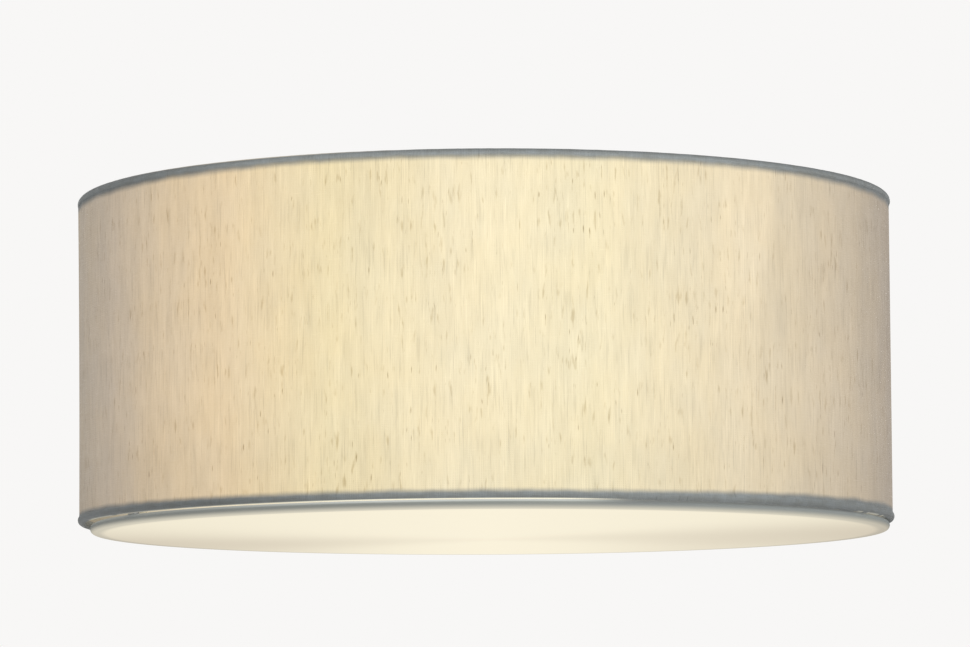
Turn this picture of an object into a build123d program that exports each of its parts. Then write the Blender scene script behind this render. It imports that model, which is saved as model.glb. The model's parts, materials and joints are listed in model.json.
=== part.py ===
from build123d import *
import math
import os

# Flush mount ceiling light: a linen drum shade with a flat opal diffuser under it, two bulbs inside.
# Millimetres. The origin is on the ceiling plane, on the lamp's axis; +Z points up into the ceiling,
# the lamp hangs towards -Z, and its front is towards -Y.

# ---------------------------------------------------------------- driving dimensions

# Drum shade
shade_radius = 200.0         # outer face of the linen wall
shade_height = 160.0         # over both hems
ceiling_gap = 6.0            # from the ceiling down to the upper hem
linen_thickness = 0.6
liner_thickness = 0.5
ring_wire_radius = 1.5       # the shade's two wire rings
hem_proud = 0.65             # the rolled hem stands out past the wall
hem_tuck_angle = 140.0       # where the tucked edge ends, turned from the outward side over the inner one
lap_width = 10.0             # the linen overlaps itself at the back
lap_azimuth = 97.0

# Diffuser
roll_wire_radius = 1.5       # the diffuser's own wire ring
film_thickness = 0.5
roll_inset = 4.0             # its ring is this much smaller than the shade's lower ring, on the radius
side_play = 1.9              # it has settled this far towards +X on its magnets
leak_gap = 0.35              # least space between the hem and the rolled edge
film_tuck_angle = 60.0       # the film ends on the upper outer side of its ring

# Magnets that hold the diffuser
catch_azimuths = (90.0, 210.0, 330.0)
catch_width = 12.0
catch_length = 17.0          # radial length of the catch plate
catch_thickness = 1.0
magnet_radius = 4.5
magnet_inset = 4.0           # from the catch plate's inner end to the magnet's edge
keeper_thickness = 1.2
keeper_length = 14.0
catch_gap = 0.1              # left between magnet and keeper

# Spider that carries the shade
arm_radius = 2.0
arm_azimuths = (45.0, 135.0, 225.0, 315.0)
arm_foot = 10.0              # level run of an arm under the upper ring
arm_bend_radius = 12.0
arm_washer_gap = 4.0         # from the washer's rim to the arms' inner ends
arm_hub_overhang = 4.0       # level run of an arm past the hub's rim
hub_radius = 27.0
hub_thickness = 2.5
hub_washer_radius = 11.0
hub_washer_thickness = 1.5
lock_nut_radius = 10.5
lock_nut_height = 9.0
lock_nut_grooves = 24
lock_nut_groove_radius = 0.7
lock_nut_chamfer = 1.0

# Ceiling pan and bracket
pan_radius = 76.0
pan_flange = 5.0
pan_taper = 5.0              # the side leans in by this much over its depth
pan_depth = 24.0
pan_metal = 1.0
pan_corner = 2.5
bracket_length = 112.0
bracket_width = 24.0
bracket_thickness = 2.0
bracket_end = 3.55           # metal left between a slot and the bracket's end
box_slot_length = 16.0
box_slot_radius = 2.6
earth_screw_radius = 2.0
earth_head_radius = 3.5
earth_head_height = 2.4

# Centre rod and its nuts
rod_radius = 5.0
rod_spare = 8.0              # thread left under the lock nut
nut_flats = 14.0
nut_height = 4.0
pan_washer_radius = 9.5
pan_washer_thickness = 1.2
sleeve_radius = 14.5
sleeve_wall = 1.5
sleeve_length = 37.0

# Lampholder cluster
cluster_radius = 26.0
cluster_height = 36.0
cluster_wall = 1.0
cover_thickness = 1.5
cover_lip_height = 3.0
cover_lip_wall = 1.0

# Lampholders
nipple_radius = 5.0
nipple_bore = 3.5
nipple_inside = 6.5          # what stands into the housing
nipple_outside = 7.0         # what stands into the lampholder's cap
nipple_nut_height = 3.5
cap_neck_radius = 8.0
cap_radius = 17.0
cap_dome_length = 9.8
cap_skirt = 3.0
cap_grip = 1.4               # length of the outer shell inside the skirt
cap_round = 4.0
cap_wall = 0.8
holder_shell_wall = 0.6
holder_depth = 27.0          # from the back of the interior block to the open end
fibre_wall = 0.5
interior_gap = 2.1           # from the cap's shoulder to the interior block
interior_length = 5.5
screw_shell_wall = 0.45
contact_radius = 4.0
contact_thickness = 1.6
wire_screw_offset = 9.0
wire_screw_radius = 1.5
wire_screw_head_radius = 2.5
wire_screw_head_height = 1.8
wire_screw_length = 4.0
screw_slot_width = 0.7
screw_slot_depth = 0.6

# Bulbs
bulb_cap_radius = 13.1       # over the thread
bulb_thread_pitch = 3.629
bulb_thread_depth = 0.5
bulb_thread_turns = 4
bulb_tip_radius = 4.0
bulb_tip_height = 1.5
bulb_insulator_height = 3.2
bulb_cap_length = 22.0
bulb_cap_wall = 0.4
bulb_body_length = 30.0
bulb_radius = 30.0
bulb_body_wall = 2.0
bulb_dome_wall = 1.2
bulb_length = 108.0
bulb_shoulder = 1.0          # the body's rim and the dome's mouth are this much inside the full radius
bulb_board_thickness = 1.6
bulb_board_inset = 3.0

# Terminal block and wiring in the pan
block_length = 36.0
block_width = 16.0
block_height = 14.0
block_gap = 18.0             # from the bracket's edge to the block
port_spacing = 12.0
port_height = 8.0            # axis of the ports above the pan's floor
insert_radius = 3.2
insert_bore = 2.3
insert_length = 13.0
port_screw_radius = 1.5
port_screw_offset = 4.0
block_screw_radius = 1.5
block_screw_head_radius = 2.4
block_screw_head_height = 1.6
screw_end = 1.5              # what stands out under the pan
lead_radius = 1.0
lead_pair_offset = 1.05      # two leads share a port, side by side
lead_bend = 6.5
lead_azimuths = {"front": 195.0, "rear": 145.0}   # of the live leads beside the rod
earth_screw_beside = 8.0     # from the block's end
earth_screw_before = 8.0     # from the block's near face

# Clearances
wrap_clearance = 0.15        # linen or film round its wire
glue_line = 0.05             # linen on its liner, pressed and threaded pieces in their holes
weld_line = 0.03             # arm under ring, plate on ring
seat_gap = 0.1               # flat faces that part when the shade comes down
thread_clearance = 0.05      # on the radius, nut on rod and bulb in its screw shell
slip_clearance = 0.3         # on the radius, loose holes
lead_clearance = 0.4         # on the radius, holes for leads
liner_end_gap = 0.4          # from the ring wire to the liner's edge

# ---------------------------------------------------------------- places worked out from them

hem_radius = ring_wire_radius + wrap_clearance + linen_thickness
ring_radius = shade_radius + hem_proud - hem_radius
top_edge_z = -ceiling_gap
bottom_edge_z = top_edge_z - shade_height
top_ring_z = top_edge_z - hem_radius
bottom_ring_z = bottom_edge_z + hem_radius

linen_inner = shade_radius - linen_thickness
liner_outer = linen_inner - glue_line
liner_inner = liner_outer - liner_thickness

roll_outer = roll_wire_radius + wrap_clearance + film_thickness
roll_radius = ring_radius - roll_inset
roll_fall = math.sqrt((hem_radius + roll_outer + leak_gap) ** 2 - (roll_inset - side_play) ** 2)
roll_z = bottom_ring_z - roll_fall
diffuser_place = Pos(side_play, 0, 0)

box_screw_spacing = bracket_length - 2 * bracket_end - box_slot_length
pan_floor_z = -(pan_depth - pan_metal)
cluster_top_z = -pan_depth - sleeve_length
cluster_bottom_z = cluster_top_z - cluster_height
bulb_axis_z = (cluster_top_z + cluster_bottom_z) / 2
cover_bottom_z = cluster_bottom_z - cover_thickness
hub_top_z = cover_bottom_z - seat_gap
hub_bottom_z = hub_top_z - hub_thickness
washer_bottom_z = hub_bottom_z - hub_washer_thickness
lock_nut_top_z = washer_bottom_z - thread_clearance
lock_nut_bottom_z = lock_nut_top_z - lock_nut_height
rod_bottom_z = lock_nut_bottom_z - rod_spare
rod_hole = rod_radius + slip_clearance
tapped_hole = rod_radius + thread_clearance

nut_corner = nut_flats / math.sqrt(3)
arm_inner_radius = hub_washer_radius + arm_washer_gap

# Heights along a lampholder and its bulb are counted outwards from the lamp's axis.
nipple_start = cluster_radius - cluster_wall - nipple_inside
nipple_end = cluster_radius + nipple_outside
cap_start = cluster_radius + glue_line
cap_shoulder = cap_start + cap_dome_length
cap_end = cap_shoulder + cap_skirt
interior_start = cap_shoulder + interior_gap
interior_face = interior_start + interior_length
holder_mouth = interior_start + holder_depth
shell_outer = cap_radius - cap_wall - glue_line
fibre_outer = shell_outer - holder_shell_wall - glue_line
fibre_inner = fibre_outer - fibre_wall
screw_shell_bore = bulb_cap_radius + thread_clearance
contact_face = interior_face + contact_thickness
bulb_tip_start = contact_face + seat_gap
bulb_insulator_start = bulb_tip_start + bulb_tip_height
bulb_cap_start = bulb_insulator_start + bulb_insulator_height
bulb_body_start = bulb_cap_start + bulb_cap_length
bulb_dome_start = bulb_body_start + bulb_body_length
bulb_end = bulb_tip_start + bulb_length

block_y = bracket_width / 2 + block_gap + block_width / 2
port_z = pan_floor_z + port_height
lead_hole = lead_radius + lead_clearance
lead_circle = (nut_corner + sleeve_radius - sleeve_wall) / 2
earth_screw_x = block_length / 2 + earth_screw_beside
earth_screw_y = block_y - block_width / 2 - earth_screw_before

parts = {}


# ---------------------------------------------------------------- helpers

def turned(points, rounds=None):
    """A solid of revolution about Z from corner points (radius, height).

    rounds maps a corner's index to the radius that rounds it.
    """
    face = make_face(Plane.XZ * Polyline(*points, close=True))
    for index, radius in (rounds or {}).items():
        corner = Plane.XZ.from_local_coords(Vector(*points[index]))
        nearest = min(face.vertices(), key=lambda vertex: (vertex.center() - corner).length)
        face = fillet(nearest, radius)
    return revolve(face, Axis.Z)


def tube(outer, inner, low, high):
    """A plain tube, or a rod or disc where inner is 0."""
    return turned([(inner, low), (outer, low), (outer, high), (inner, high)])


def wire_ring(radius, wire, height):
    """A ring of round wire."""
    return Pos(0, 0, height) * Torus(radius, wire)


def curl(radius, height, inner, outer, start, end):
    """Section of a sheet curled round a wire, from angle start to angle end, in the XZ plane.

    The angles are in degrees, with 0 outwards and 90 up.
    """
    centre = (radius, height)
    outside = CenterArc(centre, outer, start, end - start)
    inside = CenterArc(centre, inner, start, end - start)
    sides = [Line(outside @ 0, inside @ 0), Line(outside @ 1, inside @ 1)]
    return make_face(Plane.XZ * Curve([outside, inside, *sides]))


def slab(low_radius, high_radius, low, high):
    """Section of a straight wall, in the XZ plane."""
    corners = [(low_radius, low), (high_radius, low), (high_radius, high), (low_radius, high)]
    return make_face(Plane.XZ * Polyline(*corners, close=True))


def hex_nut(top, height, bore):
    """A hexagon nut whose upper face is at top."""
    blank = extrude(RegularPolygon(nut_flats / 2, 6, major_radius=False), height)
    return Pos(0, 0, top - height) * (blank - Cylinder(bore, 3 * height))


def lead(points, bend):
    """An insulated lead along points, with each bend as large as its runs allow, up to bend."""
    points = [Vector(*point) for point in points]
    radii = []
    for before, corner, after in zip(points, points[1:], points[2:]):
        turn = math.radians((corner - before).get_angle(after - corner))
        shorter = min((corner - before).length, (after - corner).length)
        radii.append(min(bend, 0.45 * shorter / math.tan(turn / 2)))
    path = FilletPolyline(*points, radius=radii)
    start = Plane(origin=path @ 0, z_dir=path % 0)
    solid = sweep(start * Circle(lead_radius), path=path)
    expected = math.pi * lead_radius ** 2 * path.length
    print(f"lead {path.length:.1f} mm, bends {[round(r, 1) for r in radii]},"
          f" volume {solid.volume / expected:.4f} of section times length")
    return solid


def pieces(solids):
    """Separate solids that share one node."""
    return Compound(children=[solid for item in solids for solid in item.solids()])


# ---------------------------------------------------------------- shade

def shade_linen():
    """Linen wall, with each edge rolled over its wire ring and a lap at the back."""
    reach_in = linen_inner - ring_radius
    inner = ring_wire_radius + wrap_clearance
    wall_rise = math.sqrt(inner ** 2 - reach_in ** 2) + linen_thickness / 10
    join_angle = math.degrees(math.atan2(wall_rise, reach_in)) + 2
    wall = slab(linen_inner, shade_radius, bottom_ring_z + wall_rise, top_ring_z - wall_rise)
    lower = curl(ring_radius, bottom_ring_z, inner, hem_radius, join_angle, hem_tuck_angle - 360)
    upper = curl(ring_radius, top_ring_z, inner, hem_radius, -join_angle, 360 - hem_tuck_angle)
    linen = revolve(Sketch() + wall + lower + upper, Axis.Z)
    lap_low = bottom_ring_z + hem_radius
    lap_high = top_ring_z - hem_radius
    lap_face = slab(shade_radius - linen_thickness / 2, shade_radius + linen_thickness, lap_low, lap_high)
    lap_angle = math.degrees(lap_width / shade_radius)
    lap = revolve(lap_face, Axis.Z, revolution_arc=lap_angle)
    return linen + Rot(0, 0, lap_azimuth) * lap


def spider_arm(azimuth):
    """One bent wire arm, from under the hub up to the underside of the upper ring."""
    low_z = hub_bottom_z - weld_line - arm_radius
    high_z = top_ring_z - ring_wire_radius - weld_line - arm_radius
    points = [(arm_inner_radius, 0, low_z), (hub_radius + arm_hub_overhang, 0, low_z),
              (ring_radius - arm_foot, 0, high_z), (ring_radius, 0, high_z)]
    path = FilletPolyline(*points, radius=arm_bend_radius)
    start = Plane(origin=path @ 0, z_dir=path % 0)
    return Rot(0, 0, azimuth) * sweep(start * Circle(arm_radius), path=path)


def lock_nut():
    """Knurled lock nut under the hub washer."""
    nut = Cylinder(lock_nut_radius, lock_nut_height)
    nut = chamfer(nut.edges().filter_by(GeomType.CIRCLE), lock_nut_chamfer)
    step = 360 / lock_nut_grooves
    groove = Cylinder(lock_nut_groove_radius, lock_nut_height)
    for index in range(lock_nut_grooves):
        nut -= Rot(0, 0, index * step) * Pos(lock_nut_radius, 0, 0) * groove
    nut -= Cylinder(tapped_hole, 2 * lock_nut_height)
    return Pos(0, 0, (lock_nut_top_z + lock_nut_bottom_z) / 2) * nut


parts["shade_linen"] = shade_linen()
parts["shade_liner"] = tube(liner_outer, liner_inner, bottom_ring_z + ring_wire_radius + liner_end_gap,
                            top_ring_z - ring_wire_radius - liner_end_gap)
parts["shade_top_ring"] = wire_ring(ring_radius, ring_wire_radius, top_ring_z)
parts["shade_bottom_ring"] = wire_ring(ring_radius, ring_wire_radius, bottom_ring_z)
parts["spider_arms"] = pieces(spider_arm(azimuth) for azimuth in arm_azimuths)
parts["spider_hub"] = tube(hub_radius, rod_hole, hub_bottom_z, hub_top_z)
parts["hub_washer"] = tube(hub_washer_radius, rod_hole, washer_bottom_z, hub_bottom_z)
parts["lock_nut"] = lock_nut()


# ---------------------------------------------------------------- diffuser and its magnets

catch_low = bottom_ring_z + ring_wire_radius + weld_line
catch_inner = ring_radius - catch_length
keeper_low = roll_z + roll_wire_radius + weld_line
keeper_high = keeper_low + keeper_thickness
magnet_low = keeper_high + catch_gap
magnet_place = catch_inner + magnet_inset + magnet_radius


def catch_plate(azimuth):
    """Steel plate welded on the shade's lower ring, reaching inwards over the diffuser's rim."""
    middle = Pos((catch_inner + ring_radius) / 2, 0, catch_low + catch_thickness / 2)
    return Rot(0, 0, azimuth) * middle * Box(catch_length, catch_width, catch_thickness)


def catch_magnet(azimuth):
    """Disc magnet under a catch plate."""
    height = catch_low - magnet_low
    return Rot(0, 0, azimuth) * Pos(magnet_place, 0, magnet_low + height / 2) * Cylinder(magnet_radius, height)


def keeper_plate(azimuth):
    """Steel plate on the diffuser's ring, facing a magnet."""
    direction = math.radians(azimuth)
    across = side_play * math.sin(direction)
    along = side_play * math.cos(direction)
    outer = along + math.sqrt(roll_radius ** 2 - across ** 2)
    middle = Pos(outer - keeper_length / 2, 0, keeper_low + keeper_thickness / 2)
    return Rot(0, 0, azimuth) * middle * Box(keeper_length, catch_width, keeper_thickness)


def diffuser_film():
    """Flat opal film, with its edge rolled over the diffuser's ring."""
    inner = roll_wire_radius + wrap_clearance
    sheet = slab(0, roll_radius + glue_line, roll_z - roll_outer, roll_z - inner)
    roll = curl(roll_radius, roll_z, inner, roll_outer, -90, film_tuck_angle)
    return diffuser_place * revolve(Sketch() + sheet + roll, Axis.Z)


parts["diffuser_film"] = diffuser_film()
parts["diffuser_ring"] = diffuser_place * wire_ring(roll_radius, roll_wire_radius, roll_z)
parts["diffuser_keepers"] = pieces(keeper_plate(azimuth) for azimuth in catch_azimuths)
parts["catch_plates"] = pieces(catch_plate(azimuth) for azimuth in catch_azimuths)
parts["catch_magnets"] = pieces(catch_magnet(azimuth) for azimuth in catch_azimuths)


# ---------------------------------------------------------------- ceiling bracket, pan and rod

def lead_place(side, holder):
    """Where a lead passes down beside the rod: side -1 is live, +1 is neutral."""
    azimuth = math.radians(lead_azimuths[holder])
    return -side * lead_circle * math.cos(azimuth), lead_circle * math.sin(azimuth)


def lead_holes(height):
    """Cutters for the four lead holes in a sheet at this height."""
    drill = Cylinder(lead_hole, 4 * cluster_wall + 4 * pan_metal)
    places = [lead_place(side, holder) for side in (-1, 1) for holder in lead_azimuths]
    return [Pos(x, y, height) * drill for x, y in places]


def screw_slot(head_radius, height):
    """Cutter for the driver slot across a screw head whose face is at this height."""
    return Pos(0, 0, height) * Box(3 * head_radius, screw_slot_width, 2 * screw_slot_depth)


def mounting_bracket():
    """Crossbar for the ceiling box: two slots for its screws and a tapped hole for the rod."""
    bar = extrude(RectangleRounded(bracket_length, bracket_width, bracket_width / 4), -bracket_thickness)
    slot_straight = box_slot_length - 2 * box_slot_radius
    for side in (-1, 1):
        slot = SlotCenterToCenter(slot_straight, 2 * box_slot_radius)
        bar -= Pos(side * box_screw_spacing / 2, 0, -bracket_thickness) * extrude(slot, bracket_thickness)
    return bar - Cylinder(tapped_hole, 4 * bracket_thickness)


def ceiling_pan():
    """Pressed steel dish that covers the ceiling box, open at the top."""
    side_top = pan_radius - pan_flange
    side_low = side_top - pan_taper
    points = [(rod_hole, -pan_depth), (side_low, -pan_depth), (side_top, -pan_metal), (pan_radius, -pan_metal),
              (pan_radius, 0), (side_top - pan_metal, 0), (side_low - pan_metal, pan_floor_z),
              (rod_hole, pan_floor_z)]
    pan = turned(points, {1: pan_corner, 6: pan_corner - pan_metal})
    for drill in lead_holes(pan_floor_z):
        pan -= drill
    for side in (-1, 1):
        hole = Cylinder(block_screw_radius + glue_line, 4 * pan_metal)
        pan -= Pos(side * port_spacing / 2, block_y, pan_floor_z) * hole
    hole = Cylinder(earth_screw_radius + glue_line, 4 * pan_metal)
    return pan - Pos(earth_screw_x, earth_screw_y, pan_floor_z) * hole


def earth_screw():
    """Earth screw in the pan's floor."""
    head_top = pan_floor_z + earth_head_height
    head = tube(earth_head_radius, 0, pan_floor_z, head_top)
    shank = tube(earth_screw_radius, 0, -pan_depth - screw_end, pan_floor_z)
    return Pos(earth_screw_x, earth_screw_y, 0) * (head + shank - screw_slot(earth_head_radius, head_top))


parts["mounting_bracket"] = mounting_bracket()
parts["ceiling_pan"] = ceiling_pan()
parts["centre_rod"] = tube(rod_radius, 0, rod_bottom_z, 0)
parts["bracket_nut"] = hex_nut(-bracket_thickness, nut_height, tapped_hole)
parts["pan_washer"] = tube(pan_washer_radius, rod_hole, pan_floor_z, pan_floor_z + pan_washer_thickness)
parts["pan_nut"] = hex_nut(pan_floor_z + pan_washer_thickness + nut_height, nut_height, tapped_hole)
parts["stem_sleeve"] = tube(sleeve_radius, sleeve_radius - sleeve_wall, cluster_top_z, -pan_depth)
parts["earth_screw"] = earth_screw()


# ---------------------------------------------------------------- lampholder cluster

def cluster_body():
    """Round housing under the sleeve, open below, with a hole for each lampholder's nipple."""
    inside = cluster_radius - cluster_wall
    shelf = cluster_top_z - cluster_wall
    points = [(rod_hole, cluster_top_z), (cluster_radius, cluster_top_z), (cluster_radius, cluster_bottom_z),
              (inside, cluster_bottom_z), (inside, shelf), (rod_hole, shelf)]
    body = turned(points, {1: 2 * cluster_wall, 4: cluster_wall})
    for drill in lead_holes(cluster_top_z):
        body -= drill
    cross_hole = Rot(90, 0, 0) * Cylinder(nipple_radius + glue_line, 3 * cluster_radius)
    return body - Pos(0, 0, bulb_axis_z) * cross_hole


def cluster_cover():
    """Plate that closes the housing, with a lip that centres it."""
    lip_outer = cluster_radius - cluster_wall - slip_clearance
    lip_inner = lip_outer - cover_lip_wall
    lip_top = cluster_bottom_z + cover_lip_height
    points = [(rod_hole, cover_bottom_z), (cluster_radius, cover_bottom_z), (cluster_radius, cluster_bottom_z),
              (lip_outer, cluster_bottom_z), (lip_outer, lip_top), (lip_inner, lip_top),
              (lip_inner, cluster_bottom_z), (rod_hole, cluster_bottom_z)]
    return turned(points)


# A lampholder and its bulb are turned about Z and then laid down to the front or to the rear.
holder_places = {"front": Pos(0, 0, bulb_axis_z) * Rot(90, 0, 0),
                 "rear": Pos(0, 0, bulb_axis_z) * Rot(-90, 0, 0)}


def holder_cap():
    """Domed cap screwed on the nipple, with a skirt that holds the outer shell."""
    neck_hole = nipple_radius + thread_clearance
    points = [(neck_hole, cap_start), (cap_neck_radius, cap_start), (cap_radius, cap_shoulder),
              (cap_radius, cap_end), (cap_radius - cap_wall, cap_end), (cap_radius - cap_wall, cap_shoulder),
              (cap_neck_radius - cap_wall, cap_start + 2 * cap_wall), (neck_hole, cap_start + 2 * cap_wall)]
    return turned(points, {2: cap_round, 5: cap_round - cap_wall})


def holder_shell():
    """Outer shell of a lampholder, with a turned-in bead at its open end."""
    inner = shell_outer - holder_shell_wall
    wall = slab(inner, shell_outer, cap_end - cap_grip, holder_mouth)
    bead = slab(inner - fibre_wall, shell_outer, holder_mouth, holder_mouth + holder_shell_wall)
    return revolve(Sketch() + wall + bead, Axis.Z)


def holder_interior():
    """Insulating block of a lampholder, with holes for its two wire screws."""
    block = tube(fibre_inner - glue_line, 0, interior_start, interior_face)
    for side in (-1, 1):
        hole = Cylinder(wire_screw_radius + glue_line, 2 * wire_screw_length)
        block -= Pos(side * wire_screw_offset, 0, interior_start) * hole
    return block


def screw_shell():
    """Brass shell that takes the bulb's thread, with a flange on the interior block."""
    outer = screw_shell_bore + screw_shell_wall
    flange_top = interior_face + screw_shell_wall
    points = [(outer - 3, interior_face), (outer, interior_face), (outer, holder_mouth - holder_shell_wall),
              (screw_shell_bore, holder_mouth - holder_shell_wall), (screw_shell_bore, flange_top),
              (outer - 3, flange_top)]
    return turned(points)


def wire_screw(side):
    """Screw that clamps a lead on the back of an interior block."""
    head = tube(wire_screw_head_radius, 0, interior_start - wire_screw_head_height, interior_start)
    shank = tube(wire_screw_radius, 0, interior_start, interior_start + wire_screw_length)
    slot = screw_slot(wire_screw_head_radius, interior_start - wire_screw_head_height)
    return Pos(side * wire_screw_offset, 0, 0) * (head + shank - slot)


def nipple_nut():
    """Nut that holds a nipple, just clear of the housing's round wall."""
    flat_seat = math.sqrt((cluster_radius - cluster_wall) ** 2 - nut_corner ** 2) - glue_line
    return hex_nut(flat_seat, nipple_nut_height, nipple_radius + thread_clearance)


parts["cluster_body"] = cluster_body()
parts["cluster_nut"] = hex_nut(cluster_top_z - cluster_wall, nut_height, tapped_hole)
parts["cluster_cover"] = cluster_cover()
parts["holder_nipples"] = pieces(place * tube(nipple_radius, nipple_bore, nipple_start, nipple_end)
                                 for place in holder_places.values())
parts["holder_nuts"] = pieces(place * nipple_nut() for place in holder_places.values())
parts["holder_wire_screws"] = pieces(place * wire_screw(side)
                                     for place in holder_places.values() for side in (-1, 1))

for name, place in holder_places.items():
    sleeve = tube(fibre_outer, fibre_inner, interior_start, holder_mouth - glue_line)
    parts[f"holder_{name}_cap"] = place * holder_cap()
    parts[f"holder_{name}_shell"] = place * holder_shell()
    parts[f"holder_{name}_sleeve"] = place * sleeve
    parts[f"holder_{name}_interior"] = place * holder_interior()
    parts[f"holder_{name}_screw_shell"] = place * screw_shell()
    parts[f"holder_{name}_contact"] = place * tube(contact_radius, 0, interior_face, contact_face)


# ---------------------------------------------------------------- bulbs

def bulb_cap():
    """Screw cap of a bulb. Its thread is drawn as rounded grooves."""
    body = tube(bulb_cap_radius, bulb_cap_radius - bulb_thread_depth - bulb_cap_wall, bulb_cap_start,
                bulb_body_start)
    groove_radius = bulb_thread_pitch / 4
    centre = bulb_cap_radius - bulb_thread_depth + groove_radius
    for turn in range(bulb_thread_turns):
        height = bulb_cap_start + bulb_thread_pitch * (turn + 0.75)
        body -= wire_ring(centre, groove_radius, height)
    return body


def bulb_insulator():
    """Glass insulator between a bulb's tip and its screw cap."""
    inside = bulb_cap_radius - bulb_thread_depth - bulb_cap_wall - glue_line
    points = [(0, bulb_insulator_start), (bulb_tip_radius + 1, bulb_insulator_start),
              (inside, bulb_cap_start), (inside, bulb_cap_start + bulb_cap_wall * 4),
              (0, bulb_cap_start + bulb_cap_wall * 4)]
    return turned(points)


def bulb_body():
    """Flared body between a bulb's cap and its dome, open towards the dome."""
    inside_low = bulb_cap_radius - bulb_body_wall
    mouth = bulb_radius - bulb_shoulder - bulb_body_wall
    floor = bulb_body_start + bulb_body_wall
    points = [(0, bulb_body_start), (bulb_cap_radius + bulb_shoulder, bulb_body_start),
              (bulb_radius - bulb_shoulder, bulb_dome_start), (mouth, bulb_dome_start), (inside_low, floor),
              (0, floor)]
    return turned(points)


def bulb_dome():
    """Opal dome: a ball's front on a short neck that meets the body."""
    centre = bulb_end - bulb_radius
    mouth_outer = bulb_radius - bulb_shoulder
    outside = CenterArc((0, centre), bulb_radius, 0, 90)
    inside = CenterArc((0, centre), bulb_radius - bulb_dome_wall, 0, 90)
    throat_outside = Line((mouth_outer, bulb_dome_start), (bulb_radius, centre))
    throat_inside = Line((mouth_outer - bulb_dome_wall, bulb_dome_start), (bulb_radius - bulb_dome_wall, centre))
    rim = Line(throat_outside @ 0, throat_inside @ 0)
    crown = Line(outside @ 1, inside @ 1)
    section = make_face(Plane.XZ * Curve([outside, inside, throat_outside, throat_inside, rim, crown]))
    return revolve(section, Axis.Z)


def bulb_board():
    """Round lamp board seated in the body's mouth."""
    reach = bulb_board_inset / (bulb_body_length - bulb_body_wall)
    low_inside = bulb_cap_radius - bulb_body_wall
    mouth = bulb_radius - bulb_shoulder - bulb_body_wall
    rim = mouth - reach * (mouth - low_inside) - glue_line
    low = bulb_dome_start - bulb_board_inset
    return tube(rim, 0, low, low + bulb_board_thickness)


for name, place in holder_places.items():
    parts[f"bulb_{name}_tip"] = place * tube(bulb_tip_radius, 0, bulb_tip_start, bulb_insulator_start)
    parts[f"bulb_{name}_insulator"] = place * bulb_insulator()
    parts[f"bulb_{name}_cap"] = place * bulb_cap()
    parts[f"bulb_{name}_body"] = place * bulb_body()
    parts[f"bulb_{name}_board"] = place * bulb_board()
    parts[f"bulb_{name}_dome"] = place * bulb_dome()


# ---------------------------------------------------------------- terminal block and leads

def terminal_block():
    """Three-way block on the pan's floor: a port through it for each insert, wells for the screws."""
    block = Pos(0, block_y, pan_floor_z + block_height / 2) * Box(block_length, block_width, block_height)
    top = pan_floor_z + block_height
    port = Rot(90, 0, 0) * Cylinder(insert_radius + glue_line, 2 * block_width)
    for index in (-1, 0, 1):
        block -= Pos(index * port_spacing, block_y, port_z) * port
        for end in (-1, 1):
            well = Cylinder(port_screw_radius + slip_clearance, block_height)
            block -= Pos(index * port_spacing, block_y + end * port_screw_offset, top) * well
    for side in (-1, 1):
        place = Pos(side * port_spacing / 2, block_y, 0)
        block -= place * Pos(0, 0, pan_floor_z) * Cylinder(block_screw_radius + glue_line, 4 * block_height)
        head_room = Cylinder(block_screw_head_radius + slip_clearance, 2 * block_screw_head_height)
        block -= place * Pos(0, 0, top) * head_room
    return block


def terminal_insert(index):
    """Brass insert of one port."""
    blank = Cylinder(insert_radius, insert_length) - Cylinder(insert_bore, 2 * insert_length)
    return Pos(index * port_spacing, block_y, port_z) * Rot(90, 0, 0) * blank


def port_screw(index, end):
    """Screw that stands on an insert, in its well."""
    low = port_z + insert_radius + glue_line
    high = pan_floor_z + block_height - glue_line
    screw = tube(port_screw_radius, 0, low, high) - screw_slot(port_screw_radius, high)
    return Pos(index * port_spacing, block_y + end * port_screw_offset, 0) * screw


def block_screw(side):
    """Screw that fixes the block to the pan's floor."""
    head_low = pan_floor_z + block_height - block_screw_head_height
    head_high = pan_floor_z + block_height - glue_line
    head = tube(block_screw_head_radius, 0, head_low, head_high)
    shank = tube(block_screw_radius, 0, -pan_depth - screw_end, head_low)
    slot = screw_slot(block_screw_head_radius, head_high)
    return Pos(side * port_spacing / 2, block_y, 0) * (head + shank - slot)


def circuit_lead(side, holder):
    """A lead from a port of the block, down beside the rod, to a lampholder's wire screw.

    side is -1 for the live port and +1 for the neutral one.
    """
    hole_x, hole_y = lead_place(side, holder)
    reach = -1 if holder == "front" else 1
    port_x = side * (port_spacing - reach * lead_pair_offset)
    port_y = block_y - insert_length / 2 + 2 * lead_radius
    bore_x = side * (lead_radius + 0.3)
    screw_x = side * (wire_screw_offset - wire_screw_head_radius - 0.2)
    turn_s = interior_start - 3.2
    screw_s = interior_start - lead_radius - 0.1
    points = [(port_x, port_y, port_z),
              (port_x, port_y - 12, port_z),
              (hole_x, hole_y, port_z),
              (hole_x, hole_y, cluster_top_z - 10),
              (bore_x, reach * (nipple_start - 1), bulb_axis_z),
              (bore_x, reach * turn_s, bulb_axis_z),
              (screw_x, reach * screw_s, bulb_axis_z)]
    return lead(points, lead_bend)


def earth_lead():
    """Short lead from the middle port to the earth screw."""
    points = [(0, block_y - insert_length / 2 + 2 * lead_radius, port_z),
              (0, block_y - block_width / 2 - 5, port_z),
              (9, 20.5, port_z - 3),
              (earth_screw_x - earth_head_radius - 0.2, earth_screw_y - 0.5, pan_floor_z + lead_radius + 0.2)]
    return lead(points, lead_bend)


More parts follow.
